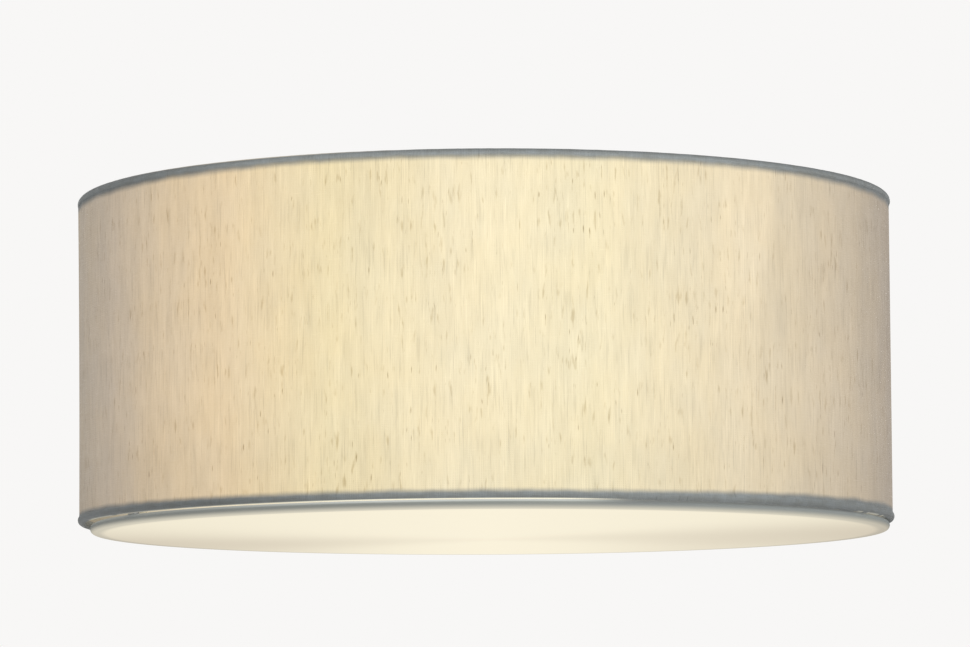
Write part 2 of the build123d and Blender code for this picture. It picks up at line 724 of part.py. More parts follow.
parts["terminal_block"] = terminal_block()
parts["terminal_inserts"] = pieces(terminal_insert(index) for index in (-1, 0, 1))
parts["terminal_port_screws"] = pieces(port_screw(index, end) for index in (-1, 0, 1) for end in (-1, 1))
parts["terminal_block_screws"] = pieces(block_screw(side) for side in (-1, 1))
parts["live_leads"] = pieces(circuit_lead(-1, holder) for holder in holder_places)
parts["neutral_leads"] = pieces(circuit_lead(1, holder) for holder in holder_places)
parts["earth_lead"] = earth_lead()


# ---------------------------------------------------------------- write the pieces

for name, solid in parts.items():
    export_step(solid, f"parts/{name}.step")
print(len(parts), "nodes")
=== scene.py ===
# %% [markdown]
# A lit drum shade under the ceiling.
# This lesson dresses a finished CAD model of a flush ceiling light: a linen drum with rolled hems, a flat
# opal diffuser under it, and two bulbs, lampholders and a ceiling pan inside. The CAD model is the fixed
# frame. It is loaded first, every new piece is placed by its numbers, and nothing in it is moved.

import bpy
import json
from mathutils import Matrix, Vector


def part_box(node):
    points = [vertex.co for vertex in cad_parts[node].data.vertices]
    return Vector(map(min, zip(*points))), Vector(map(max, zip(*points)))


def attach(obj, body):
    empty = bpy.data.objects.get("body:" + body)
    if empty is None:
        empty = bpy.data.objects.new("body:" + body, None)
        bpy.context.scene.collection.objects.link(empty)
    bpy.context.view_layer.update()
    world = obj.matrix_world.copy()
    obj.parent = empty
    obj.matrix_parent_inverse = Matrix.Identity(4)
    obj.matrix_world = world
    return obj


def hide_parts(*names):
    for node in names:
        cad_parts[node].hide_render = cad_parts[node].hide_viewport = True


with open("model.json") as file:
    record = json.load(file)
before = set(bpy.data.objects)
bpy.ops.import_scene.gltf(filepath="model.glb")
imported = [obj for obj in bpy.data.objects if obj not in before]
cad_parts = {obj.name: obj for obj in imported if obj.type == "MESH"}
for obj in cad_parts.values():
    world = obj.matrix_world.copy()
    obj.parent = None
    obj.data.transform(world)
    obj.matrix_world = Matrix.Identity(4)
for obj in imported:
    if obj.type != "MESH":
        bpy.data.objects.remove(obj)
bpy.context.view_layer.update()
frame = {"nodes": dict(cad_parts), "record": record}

# %% [markdown]
# The standard modules come next. Blender's scenes are built through bpy; bmesh edits meshes, and mathutils
# has vectors, matrices and a noise that gives the same numbers on every run.

# %% Modules
import json
import math

import bmesh
import bpy
from mathutils import Matrix, Vector, noise

print("Blender", bpy.app.version_string)

# %% [markdown]
# A mesh, a lamp or a camera is only data until an object holds it and the object is linked to a collection
# of the scene. The operators in bpy.ops could add such things too, but they depend on what is selected, so
# one small helper does both steps. Blender works in metres, and small sizes read better in millimetres.

# %% Putting things in the scene
MM = 0.001


def in_place(thing, name):
    """Makes an object of a mesh, lamp or camera and puts it in the scene."""
    made = bpy.data.objects.new(name, thing)
    bpy.context.scene.collection.objects.link(made)
    return made


print("a millimetre is", MM, "m")

# %% [markdown]
# The lamp was seen from a little below its rim and from far away, so a long lens is used: it keeps the
# drum's top and bottom curves as flat as they are in the picture. The numbers were worked out from the
# curves of the two hems. A tiny roll makes the right side sit slightly higher.

# %% The camera
camera = in_place(bpy.data.cameras.new("camera"), "camera")
camera.data.sensor_width = 36.0
camera.data.lens = 180.8
eye, look_up, roll = (0.0, -2.4, -0.3101), 0.1013, 0.0051
camera.matrix_world = (Matrix.Translation(eye)
                       @ Matrix.Rotation(math.pi / 2 + look_up, 4, "X") @ Matrix.Rotation(-roll, 4, "Z"))
bpy.context.scene.camera = camera
bpy.context.scene.view_settings.view_transform = "Standard"
print("lens", round(camera.data.lens, 1), "mm, looking up", round(math.degrees(look_up), 2), "degrees")

# %% [markdown]
# Shader maths is easier to read as arithmetic than as a web of boxes. Wire wraps one output of a node, and
# +, -, * and / on it add the nodes that do the sum. Values use Math nodes; colours and vectors use Vector
# Math, because a Math node would turn a colour grey. Numbers alone stay plain Python.

# %% Arithmetic on shader wires
class Wire:
    """An output of a shader node, on which arithmetic can be written."""

    def __init__(self, finish, output):
        self.finish, self.output = finish, output

    def sum_of(self, operation, first, second):
        """One node for one operation, chosen by what its two sides are."""
        wide = [side for side in (first, second) if kind_of(side) != "VALUE"]
        if not wide:
            return self.finish.node("ShaderNodeMath", {"operation": operation}, {0: first, 1: second})
        if len(wide) == 1 and operation == "MULTIPLY":
            amount = second if wide[0] is first else first
            return self.finish.node("ShaderNodeVectorMath", {"operation": "SCALE"},
                                    {"Vector": wide[0], "Scale": amount})
        return self.finish.node("ShaderNodeVectorMath", {"operation": operation}, {0: first, 1: second})

    def __add__(self, other):
        return self.sum_of("ADD", self, other)

    def __radd__(self, other):
        return self.sum_of("ADD", other, self)

    def __sub__(self, other):
        return self.sum_of("SUBTRACT", self, other)

    def __rsub__(self, other):
        return self.sum_of("SUBTRACT", other, self)

    def __mul__(self, other):
        return self.sum_of("MULTIPLY", self, other)

    def __rmul__(self, other):
        return self.sum_of("MULTIPLY", other, self)

    def __truediv__(self, other):
        return self.sum_of("DIVIDE", self, other)

    def __rtruediv__(self, other):
        return self.sum_of("DIVIDE", other, self)


def kind_of(side):
    """VALUE for a number or a value wire, and another word for a colour or a vector."""
    if isinstance(side, Wire):
        return side.output.type
    return "VECTOR" if isinstance(side, tuple) else "VALUE"


print("a wire knows + - * / from both sides")

# %% [markdown]
# A finish is one material. Its node method adds any node: the settings first, since some of them change
# which sockets the node has, and then a value or a wire for each socket. What is the same all over a
# surface is written straight on the shader's own socket. What changes over it goes through paint.

# %% Finishes
class Finish:
    """A material whose nodes are added one call at a time."""

    def __init__(self, name, **even):
        self.material = bpy.data.materials.new(name)
        self.material.use_nodes = True
        self.tree = self.material.node_tree
        self.shader = self.tree.nodes["Principled BSDF"]
        for socket, value in even.items():
            self.feed(self.shader.inputs[socket.replace("_", " ")], value)

    def feed(self, socket, value):
        """Gives a socket a wire, or a value in the form that the socket takes."""
        if isinstance(value, Wire):
            self.tree.links.new(value.output, socket)
        elif socket.type == "RGBA":
            socket.default_value = (*value, 1.0)
        elif socket.type == "VECTOR" and not isinstance(value, tuple):
            socket.default_value = (value, value, value)
        else:
            socket.default_value = value

    def node(self, kind, settings, inputs, output=0):
        """Adds a node and hands back one of its outputs as a wire."""
        made = self.tree.nodes.new(kind)
        for key, value in settings.items():
            if key == "stops":
                set_stops(made.color_ramp, value)
            else:
                setattr(made, key, value)
        for key, value in inputs.items():
            self.feed(made.inputs[key], value)
        return Wire(self, made.outputs[output])

    def paint(self, sockets):
        """Feeds what varies over the surface to the shader, and hands back the material."""
        for key, value in sockets.items():
            self.feed(self.shader.inputs[key], value)
        return self.material


def set_stops(ramp, stops):
    """Gives a colour ramp its stops, as (position, colour)."""
    while len(ramp.elements) < len(stops):
        ramp.elements.new(1.0)
    for element, (position, colour) in zip(ramp.elements, stops):
        element.position, element.color = position, (*colour, 1.0)


print("a finish has node(), feed() and paint()")

# %% [markdown]
# Colours are written as they look on a screen, from 0 to 255, and the shader wants them linear. A few short
# helpers cover most patterns. The first group says where a point is and what colour it has: the place on
# the object, a smooth step, a noise that can be stretched into streaks or threads, and a blend.

# %% Colour and pattern helpers
DARK = (0.0, 0.0, 0.0)


def screen(red, green, blue):
    """A screen colour as linear numbers."""
    return tuple(c / 12.92 if c <= 0.04045 else ((c + 0.055) / 1.055) ** 2.4
                 for c in (red / 255, green / 255, blue / 255))


def place_on(finish):
    """The place on the object, in millimetres of its own frame, as three wires."""
    place = finish.node("ShaderNodeTexCoord", {}, {}, "Object")
    in_mm = place * (1 / MM)
    return [finish.node("ShaderNodeSeparateXYZ", {}, {"Vector": in_mm}, axis) for axis in "XYZ"]


def step(value, low, high):
    """0 up to low, 1 from high on, and smooth between."""
    return value.finish.node("ShaderNodeMapRange", {"interpolation_type": "SMOOTHSTEP"},
                             {"Value": value, "From Min": low, "From Max": high})


def cloud(along, sizes, seed=0.0, detail=2.0):
    """Noise over two or three wires, each divided by its own size in millimetres."""
    scaled = [wire * (1 / size) for wire, size in zip(along, sizes)] + [seed] * (3 - len(along))
    vector = along[0].finish.node("ShaderNodeCombineXYZ", {}, dict(zip("XYZ", scaled)))
    return vector.finish.node("ShaderNodeTexNoise", {}, {"Vector": vector, "Scale": 1.0, "Detail": detail})


def blend(amount, first, second):
    """The first colour where amount is 0 and the second where it is 1."""
    finish = amount.finish
    return finish.node("ShaderNodeMix", {"data_type": "RGBA"}, {0: amount, 6: first, 7: second}, 2)


print("linen white", [round(c, 3) for c in screen(248, 235, 197)])

# %% [markdown]
# The second group holds the sums that a lamp needs again and again. A band of light is a bell. What is the
# same on both sides of the drum depends on a distance without its sign. A glow is what a surface lacks to
# look as bright as it should.

# %% Sums for light and relief
def extra(colour, own):
    """The light that must be added to a surface's own colour to reach colour, and never less than none."""
    lacking = colour - own
    return lacking.finish.node("ShaderNodeVectorMath", {"operation": "MAXIMUM"}, {0: lacking, 1: DARK})


def bell(value, middle, width):
    """1 at the middle, falling smoothly to 0 on both sides."""
    away = (value - middle) / width
    return value.finish.node("ShaderNodeMath", {"operation": "EXPONENT"}, {0: away * away * -1.0})


def unsigned(value):
    """The value without its sign."""
    return value.finish.node("ShaderNodeMath", {"operation": "ABSOLUTE"}, {0: value})


def from_axis(sideways, back):
    """The distance from an upright axis."""
    squares = sideways * sideways + back * back
    return squares.finish.node("ShaderNodeMath", {"operation": "SQRT"}, {0: squares})


def relief(height, depth):
    """A normal for a surface whose small relief is height, with depth in metres."""
    return height.finish.node("ShaderNodeBump", {}, {"Height": height, "Strength": 1.0, "Distance": depth})


print("a bell, a distance and a relief are one node each, with the sums before it")

# %% [markdown]
# The room is a plain pale one. Its pale background could come from stronger lamps, but they would wash out
# the linen. So it is only for the eye: Light Path lets camera, glossy and transmission rays see it, and it
# adds no light. What lights the lamp is the world's even, soft daylight.

# %% The room
def seen_directly(finish):
    """1 for rays that look at the background itself, through glass or in a reflection."""
    rays = [finish.node("ShaderNodeLightPath", {}, {}, name)
            for name in ("Is Camera Ray", "Is Glossy Ray", "Is Transmission Ray")]
    return finish.node("ShaderNodeMath", {"operation": "MINIMUM"}, {0: rays[0] + rays[1] + rays[2], 1: 1.0})


PALE = screen(248, 247, 246)


class Room(Finish):
    """The world's nodes, written like a finish."""

    def __init__(self, world):
        world.use_nodes = True
        self.tree = world.node_tree


world = bpy.data.worlds.new("room")
bpy.context.scene.world = world
room = Room(world)
sky = world.node_tree.nodes["Background"]
soft_daylight = (0.585, 0.595, 0.612)
room.feed(sky.inputs["Color"], blend(seen_directly(room), soft_daylight, PALE))
print("world", soft_daylight, "seen as", [round(c, 3) for c in PALE])

# %% [markdown]
# One broad sun from the front and above adds a little shape. A small hard one would draw sharp shadows that
# a bright room doesn't have. The floor is far below, out of the way of views from underneath, and keeps the
# lamp's shadow. Like the world's, its glow is only for the eye.

# %% The sun and the floor
sun = in_place(bpy.data.lights.new("soft_sun", "SUN"), "soft_sun")
sun.data.energy, sun.data.angle = 1.35, math.radians(35)
sun.rotation_euler = (math.radians(48), 0.0, math.radians(26))

FLOOR_Z, FLOOR_REACH = -5.6, 30
floor_glow = (0.183, 0.171, 0.165)
floor_sheet = bpy.data.meshes.new("floor")
floor_sheet.from_pydata([(FLOOR_REACH * right, FLOOR_REACH * back, FLOOR_Z)
                         for right, back in ((-1, -1), (1, -1), (1, 1), (-1, 1))], [], [(0, 1, 2, 3)])
floor = in_place(floor_sheet, "floor")
pale_floor = Finish("pale_floor", Roughness=0.9, Emission_Strength=1.0)
floor.data.materials.append(pale_floor.paint({
    "Base Color": screen(236, 235, 233),
    "Emission Color": blend(seen_directly(pale_floor), DARK, floor_glow)}))
print("sun", round(sun.data.energy, 2), "floor at", FLOOR_Z, "m")

# %% [markdown]
# The bracket, rod, nuts, screws, contacts and bulb caps are bare or plated metal. Plating is never one flat
# colour: it is cloudy, it has short marks from handling, and its shine wanders. A picture of metal could be
# wrapped round each piece, but noise needs no unwrapping and keeps one scale on all of them. One function
# makes all the metals, and its two colours and two numbers tell zinc from nickel, brass and solder.

# %% Metals
def plated(name, colour, stain, dull, shine=0.3):
    """A metal: colour clouded with stain, and a roughness that wanders round shine by dull."""
    metal = Finish(name, Metallic=1.0)
    place = place_on(metal)
    clouds = cloud(place, (9.0, 9.0, 9.0), detail=4.0)
    marks = cloud(place, (0.5, 3.5, 3.5), seed=3.0, detail=3.0)
    return metal.paint({
        "Base Color": blend(step(clouds, 0.42, 0.72) * 0.7 + step(marks, 0.6, 0.8) * 0.3, colour, stain),
        "Roughness": clouds * dull + (shine - dull / 2),
        "Normal": relief(marks, 0.00003)})


finishes = {
    "zinc_steel": plated("bright_zinc", (0.66, 0.67, 0.68), (0.52, 0.53, 0.50), 0.3, 0.36),
    "brass_nickel": plated("satin_nickel", (0.72, 0.71, 0.67), (0.60, 0.58, 0.53), 0.16, 0.24),
    "magnet_nickel": plated("magnet_plating", (0.76, 0.76, 0.75), (0.64, 0.64, 0.63), 0.12, 0.18),
    "brass": plated("plain_brass", (0.78, 0.60, 0.30), (0.52, 0.36, 0.17), 0.24, 0.32),
    "solder": plated("dull_solder", (0.62, 0.62, 0.63), (0.44, 0.44, 0.45), 0.3, 0.5),
    "bulb_cap_metal": plated("bulb_cap_plating", (0.80, 0.80, 0.79), (0.64, 0.63, 0.60), 0.2, 0.28),
}
print(len(finishes), "metals")

# %% [markdown]
# The pan, the stem, the cluster, the carrier's arms and the lampholders' shells are enamelled, the rings
# are coated wire, and the leads, the terminal block and the bulbs' bodies are plastic. All have a fine
# orange peel and a little clouding, and dust has settled on what faces up, which Geometry's Normal tells.
# A coat gives glass and the bulbs their gloss.

# %% Enamels and plastics
def coated(name, colour, cloudy, shine, peel, gloss=0.0, dust=0.0):
    """Enamel, plastic or glass: a little cloudy, with a fine relief and some dust on what faces up."""
    coat = Finish(name, Coat_Weight=gloss, Coat_Roughness=0.12, Specular_IOR_Level=0.5)
    place = place_on(coat)
    clouds = cloud(place, (14.0, 14.0, 14.0), detail=4.0)
    fine = cloud(place, (0.7, 0.7, 0.7), seed=5.0, detail=2.0)
    facing = coat.node("ShaderNodeNewGeometry", {}, {}, "Normal")
    upward = coat.node("ShaderNodeSeparateXYZ", {}, {"Vector": facing}, "Z")
    settled = step(upward, 0.3, 1.0) * step(cloud(place, (5.0, 5.0, 5.0), seed=9.0, detail=5.0), 0.35, 0.8)
    darker = tuple(c * (1 - cloudy) for c in colour)
    shade = blend(clouds, colour, darker)
    return coat.paint({"Base Color": blend(settled * dust, shade, (0.42, 0.40, 0.36)),
                       "Roughness": settled * dust * 0.5 + clouds * 0.12 + (shine - 0.06),
                       "Normal": relief(fine, peel)})


finishes |= {
    "white_enamel": coated("white_enamel", (0.84, 0.84, 0.82), 0.06, 0.38, 0.00002, dust=0.28),
    "ring_steel": coated("coated_wire", (0.78, 0.78, 0.76), 0.10, 0.42, 0.00004, dust=0.22),
    "green_screw": coated("green_screw", (0.06, 0.34, 0.11), 0.25, 0.32, 0.00001, gloss=0.3),
    "white_nylon": coated("white_nylon", (0.82, 0.82, 0.79), 0.08, 0.50, 0.00003, dust=0.3),
    "black_phenolic": coated("black_phenolic", (0.030, 0.026, 0.023), 0.40, 0.34, 0.00002),
    "black_insulation": coated("black_insulation", (0.025, 0.025, 0.026), 0.30, 0.46, 0.00002, dust=0.15),
    "white_insulation": coated("white_insulation", (0.80, 0.80, 0.77), 0.10, 0.46, 0.00002, dust=0.2),
    "green_insulation": coated("green_insulation", (0.07, 0.36, 0.09), 0.20, 0.46, 0.00002, dust=0.15),
    "black_glass": coated("black_glass", (0.020, 0.020, 0.024), 0.20, 0.12, 0.00001, gloss=0.6),
    "bulb_white": coated("bulb_white", (0.86, 0.86, 0.84), 0.05, 0.30, 0.00001, gloss=0.2, dust=0.2),
    "lamp_board": coated("lamp_board", (0.84, 0.84, 0.80), 0.08, 0.40, 0.00002),
}
print(len(finishes), "finishes")

# %% [markdown]
# The insulating sleeve inside a lampholder's outer shell is pressed fibre, a brown paper board. Short flat
# fibres lie along it in darker and lighter tones, so its noise is stretched one way.

# %% Pressed fibre
fibre = Finish("pressed_fibre", Specular_IOR_Level=0.3)
fibre_place = place_on(fibre)
hairs = cloud(fibre_place, (0.4, 2.6, 0.4), detail=4.0)
finishes["fibre"] = fibre.paint({
    "Base Color": blend(step(hairs, 0.35, 0.65), (0.42, 0.30, 0.18), (0.60, 0.47, 0.31)),
    "Roughness": hairs * 0.2 + 0.65, "Normal": relief(hairs, 0.00006)})
print("fibres about 2.6 mm long,", len(finishes), "finishes")

# %% [markdown]
# The lamp is lit. Real light that soaks through linen, film and glass takes very long to compute and is
# lost when the model is used elsewhere, so each translucent piece carries its own glow: an emission that is
# as bright and as warm as the light that comes through at that place. The piece's base colour stays the
# dim one that it has from outside, and glow and base together give what the eye sees.

# %% Bulb domes
GLOW_FROM, GLOW_FULL = 100.0, 128.0
dome = Finish("opal_dome", Emission_Strength=1.0, Coat_Weight=0.3, Coat_Roughness=0.2)
dome_place = place_on(dome)
lit = step(unsigned(dome_place[1]), GLOW_FROM, GLOW_FULL)
speckle = cloud(dome_place, (3.0, 3.0, 3.0), detail=3.0)
finishes["opal_dome"] = dome.paint({
    "Base Color": blend(speckle, (0.58, 0.57, 0.54), (0.54, 0.53, 0.50)),
    "Emission Color": blend(lit, screen(196, 178, 142), screen(222, 211, 186)) * (speckle * 0.06 + 0.96),
    "Roughness": speckle * 0.1 + 0.4})
print("domes glow from", GLOW_FROM, "mm and fully from", GLOW_FULL, "mm outwards")

# %% [markdown]
# The liner is the stiff white film behind the linen. From inside it shows bright and plain, with two soft
# pools of light beside the bulbs, towards the front and the rear, and duller sides. Behind the lower hem it
# is in shade, so that the crack over the diffuser shows no bright wall.

# %% Liner
POOL_FULL, POOL_END = 40.0, 205.0
SHADE_TOP, SHADE_FULL = -144.0, -160.0
liner = Finish("white_liner", Specular_IOR_Level=0.4, Emission_Strength=1.0)
liner_place = place_on(liner)
pool = 1 - step(unsigned(liner_place[0]), POOL_FULL, POOL_END)
mottle = cloud(liner_place, (2.0, 2.0, 7.0), detail=4.0)
# painted shade: the liner's base colour and glow are darker behind the lower hem
above_hem = 1 - step(liner_place[2], SHADE_TOP, SHADE_FULL) * 0.66
finishes["liner"] = liner.paint({
    "Base Color": blend(mottle, (0.60, 0.59, 0.55), (0.54, 0.53, 0.49)) * above_hem,
    "Emission Color": (blend(pool, screen(164, 148, 120), screen(190, 177, 149))
                       * ((mottle * 0.12 + 0.94) * above_hem)),
    "Roughness": mottle * 0.15 + 0.5})
print("liner in shade from", SHADE_TOP, "down to", SHADE_FULL, "mm")

# %% [markdown]
# The linen cover is rolled over two rings of wire and lies on the liner, so its sizes are read from those
# CAD pieces. Measured again by hand, they could drift from the frame.

# %% Sizes of the drum
drum_low, drum_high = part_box("shade_linen")
ring_low, ring_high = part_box("shade_top_ring")
wire_radius = (ring_high.z - ring_low.z) / 2
ring_radius = ring_high.x - wire_radius
top_ring_z = (ring_high.z + ring_low.z) / 2
bottom_ring_z = drum_low.z + drum_high.z - top_ring_z
seam_azimuth = math.radians(97.0)
LAP_WIDTH = 10.0
cloth = 0.6 * MM
wall_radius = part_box("shade_liner")[1].x + cloth
top_edge, bottom_edge = drum_high.z / MM, drum_low.z / MM
print("wall radius", round(wall_radius / MM, 3), "ring radius", round(ring_radius / MM, 2),
      "hem edges at", round(top_edge, 2), round(bottom_edge, 2))

# %% [markdown]
# Everything on the linen is computed from the place on the drum: around it, in millimetres of arc, and up
# it. A UV map could hold the same two numbers, but these sums need no unwrapping. The arc jumps once, where
# it starts again, and that is put at the back, at the lap, where the cloth's two ends really meet.

# %% Places on the drum
linen = Finish("lit_linen", Specular_IOR_Level=0.2, Emission_Strength=1.0, Sheen_Weight=0.15,
               Sheen_Roughness=0.5)
x, y, up = place_on(linen)
cut = seam_azimuth - math.pi
turned_x = x * math.cos(cut) + y * math.sin(cut)
turned_y = y * math.cos(cut) - x * math.sin(cut)
angle = linen.node("ShaderNodeMath", {"operation": "ARCTAN2"}, {0: turned_y, 1: turned_x})
around = angle * (wall_radius / MM)
print("the arc starts again at", round(math.degrees(seam_azimuth), 1), "degrees")

# %% [markdown]
# From across the room linen has soft upright bands and broad patches. From nearer it has thin light and
# dark threads, brownish slubs, where the yarn is thick, and a few dark knots. Close up it is a plain weave
# with threads about 0.9 mm apart. Real threads would take millions of faces, so each pattern is a noise
# stretched upright to a width and a length in millimetres, of which a step keeps only the peaks.

# %% Weave and slubs
WARP_PITCH, WEFT_PITCH = 0.92, 1.05


def wave(value):
    """A sine of value, in turns."""
    return value.finish.node("ShaderNodeMath", {"operation": "SINE"}, {0: value * math.tau})


drift = cloud((around, up), (2.6, 30.0), seed=1.0) * 3.0
warp = wave(around * (1 / WARP_PITCH) + drift)
weft = wave(up * (1 / WEFT_PITCH) + cloud((around, up), (9.0, 3.0), seed=2.0) * 2.6)
weave = warp * 0.6 + weft * 0.25
threads = step(cloud((around, up), (0.60, 24.0), seed=11.0), 0.54, 0.74)
shadows = step(cloud((around, up), (0.90, 22.0), seed=18.0), 0.53, 0.72)
hairline = step(cloud((around, up), (9.0, 0.55), seed=12.0), 0.64, 0.76)
streaks = cloud((around, up), (3.0, 18.0), seed=17.0, detail=3.0) - 0.5
thick_yarn = cloud((around, up), (30.0, 44.0), seed=25.0, detail=3.0) * 0.22 - 0.11
slubs = step(cloud((around, up), (1.85, 11.0), seed=13.0) + thick_yarn, 0.59, 0.78)
knots = step(cloud((around, up), (0.98, 8.0), seed=14.0, detail=1.0) + thick_yarn, 0.70, 0.84)
bands = cloud((around, up), (7.0, 120.0), seed=15.0, detail=3.0) - 0.5
patches = cloud((around, up), (34.0, 60.0), seed=16.0, detail=3.0) - 0.5
tone = (1 + weave * 0.010 + threads * 0.085 - shadows * 0.12 + hairline * 0.045 + streaks * 0.20
        + bands * 0.17 + patches * 0.12)
half_turn = math.pi * wall_radius / MM
doubled = step(around, LAP_WIDTH + 0.3 - half_turn, LAP_WIDTH - 0.1 - half_turn)
print("threads", WARP_PITCH, "and", WEFT_PITCH, "mm apart, once round is", round(2 * half_turn, 1), "mm")

# %% [markdown]
# The wall's glow is cream in the middle. It fades to warm brown on the left and pinkish grey on the right,
# because the two bulbs stand one to the front and one to the rear. A colour ramp across the drum says that
# in ten colours, and what the cloth shows without any light behind it is a plain grey.

# %% Colour of the glow
across = x * (0.5 / (wall_radius / MM)) + 0.5
glow = linen.node("ShaderNodeValToRGB", {"stops": [
    (0.00, screen(177, 166, 150)), (0.06, screen(199, 184, 164)), (0.12, screen(221, 201, 171)),
    (0.20, screen(236, 214, 178)), (0.32, screen(243, 227, 186)), (0.46, screen(248, 234, 198)),
    (0.62, screen(248, 235, 198)), (0.80, screen(234, 218, 186)), (0.91, screen(212, 196, 170)),
    (1.00, screen(167, 154, 138))]},
    {"Fac": across})
wall_grey = screen(133, 131, 126)
print("unlit wall", [round(c, 3) for c in wall_grey])

# %% [markdown]
# The hems are rolled over steel wire, so no light comes through them. The glow fades in softly beside them,
# and later towards the two sides, where the light reaches the wall at a slant. A little noise makes that
# border waver, as a rolled hem's does. Only the cloth's outer face glows, not what is tucked inside.

# %% Where the wall is open to the light
DRUM_RADIUS = 200
OUTER_FACE, TOP_FADE, BOTTOM_FADE = (198.7, 199.2), (2.2, 6.2), (2.4, 5.6)
out_from_axis = from_axis(x, y)
to_side = x * (1 / DRUM_RADIUS)
slant = to_side * to_side * to_side * to_side * 2.2
waver = (cloud((around, up), (15.0, 9.0), seed=21.0, detail=3.0) - 0.5) * 1.7
outside = step(out_from_axis, *OUTER_FACE)
below_top = step(up + slant + waver, *(top_edge - fade for fade in TOP_FADE))
wider_right = step(x, 70.0, 150.0)
above_bottom = step(up - slant * 0.5 - wider_right + waver, *(bottom_edge + fade for fade in BOTTOM_FADE))
open_wall = below_top * above_bottom * outside
print("glow fades out", TOP_FADE, "mm under the top edge and", BOTTOM_FADE, "mm over the bottom edge")

# %% [markdown]
# The right arm of the carrier and its hub draw the upright edge of a bright field near the right side. The
# weave, the slubs and the knots dim the glow and make it browner, some patches are a little warmer than
# others, and at the lap the cloth is double, so less light comes through.

# %% The lit cloth
low_dim = 1 - (1 - step(up, bottom_edge + 4.0, bottom_edge + 52.0)) * 0.055
field_edge = step(x - up * 0.115, 133.5, 141.5)
bright_field = step(x, 92.0, 122.0) * step(up, -112.0, -60.0) * (0.07 - field_edge * 0.09)
lit_cloth = glow * (tone * low_dim * (1 + bright_field) * (1 - doubled * 0.17))
slub_brown, knot_brown = (0.74, 0.70, 0.63), (0.50, 0.44, 0.37)
lit_cloth = blend(slubs * 0.74, lit_cloth, lit_cloth * slub_brown)
lit_cloth = blend(knots * 0.90, lit_cloth, lit_cloth * knot_brown)
warmth = cloud((around, up), (22.0, 38.0), seed=24.0, detail=3.0)
cooler, warmer = (0.992, 1.0, 1.02), (1.008, 0.998, 0.98)
lit_cloth = blend(step(warmth, 0.3, 0.7), lit_cloth * cooler, lit_cloth * warmer)
inner_glow = blend(open_wall, DARK, extra(lit_cloth, wall_grey))
print("a slub lets through", slub_brown, "of the glow and a knot", knot_brown)

# %% [markdown]
# Where the lower hem nearly touches the diffuser a thin line of light escapes and catches the hem's
# underside. It runs from the far left to a little right of the middle, with one small break, and comes back
# as short dashes near the right side. At the upper left the light behind the shade gives the hem's crest a
# faint warm fringe.

# %% Light that escapes
ESCAPED = screen(240, 233, 207)
LINE_START, LINE_END, BREAK_AT = (-193.0, -189.0), (70.0, 34.0), -176.0
DASHES_START, DASHES_END = (174.0, 179.0), (194.0, 191.0)
gap = step(up + step(x, -60.0, -180.0) * 0.12, bottom_edge + 0.54, bottom_edge + 0.06)
left_reach = step(x, *LINE_START) * step(x, *LINE_END) * (step(x, -170.0, -30.0) * 0.65 + 0.35)
small_break = bell(x, BREAK_AT, 1.6)
broken = step(cloud((around, up), (5.0, 9.0), seed=22.0), 0.46, 0.56)
dashes = step(x, *DASHES_START) * step(x, *DASHES_END) * broken
escape = gap * (left_reach * (1 - small_break) + dashes * 0.3)
fringe = step(up, top_edge - 0.9, top_edge - 0.1) * bell(x, -104.0, 46.0) * 0.6
edge_light = blend(fringe, inner_glow, screen(214, 198, 168))
print("line of light from", LINE_START[0], "to", LINE_END[0], "mm, dashes to", DASHES_END[0], "mm")

# %% [markdown]
# The hems show the linen's own cool grey, cloudy from the glue under it. Painted shade makes them dimmer on
# both sides, which turn away from the room's light, and darkens the upper hem's crest, close under the
# ceiling, with a painted lighter band just below it.

# %% Grey of the hems
hem_grey = screen(144, 149, 149)
hem_cloud = cloud((around, up), (8.0, 2.6), seed=23.0, detail=3.0)
hem_shade = blend(step(hem_cloud, 0.30, 0.72), hem_grey, screen(136, 139, 136))
upper_half = step(up, -100.0, -60.0)
# painted shade: the hems' base colour is darker towards both sides
left_dim = step(x, upper_half * -60.0 - 30.0, upper_half * -30.0 - 150.0) * 0.37
hem_shade = hem_shade * (1 - left_dim - step(x, 100.0, 175.0) * 0.26 - step(x, 170.0, 198.0) * 0.10)
# painted shade on the upper hem's crest, and a painted lighter band just below it
crest = step(up, top_edge - 2.1, top_edge)
painted_light_band = bell(up, top_edge - 2.7, 1.0)
hem_shade = hem_shade * (1 - crest * 0.40 + painted_light_band * 0.24)
print("hem grey", [round(c, 3) for c in hem_grey])

# %% [markdown]
# All of it meets in the linen's one material. The base colour is what the room's light shows, with the
# hems' painted shade in it, the emission is what comes through, and the weave is felt in the roughness and
# in a very shallow relief.

# %% The linen's finish
base_cloth = blend(open_wall, hem_shade, wall_grey) * (1 + weave * 0.05 - slubs * 0.14 - knots * 0.3)
finishes["linen"] = linen.paint({
    "Base Color": base_cloth,
    "Emission Color": blend(escape, edge_light, ESCAPED),
    "Roughness": weave * 0.06 + 0.85,
    "Normal": relief(weave + slubs * 0.8, 0.00009)})
print("linen has", len(linen.tree.nodes), "nodes")

# %% [markdown]
# The diffuser is a flat opal film. Each bulb makes a bright field in it, to the front and to the rear, and
# between the two a darker wedge widens from the middle to each side, like a bow tie. Its rolled rim turns
# from lit film to unlit grey where it curls up over its wire, and the outside of that curl catches a little
# of the light that escapes under the hem.

# %% Places on the diffuser
HALF_FILM = 195
film_low, film_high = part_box("diffuser_film")
hoop_low, hoop_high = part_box("diffuser_ring")
hoop_wire = (hoop_high.z - hoop_low.z) / 2
hoop_middle = (hoop_high.x + hoop_low.x) / 2
hoop_radius = (hoop_high.x - hoop_low.x) / 2 - hoop_wire
hoop_z = (hoop_high.z + hoop_low.z) / 2

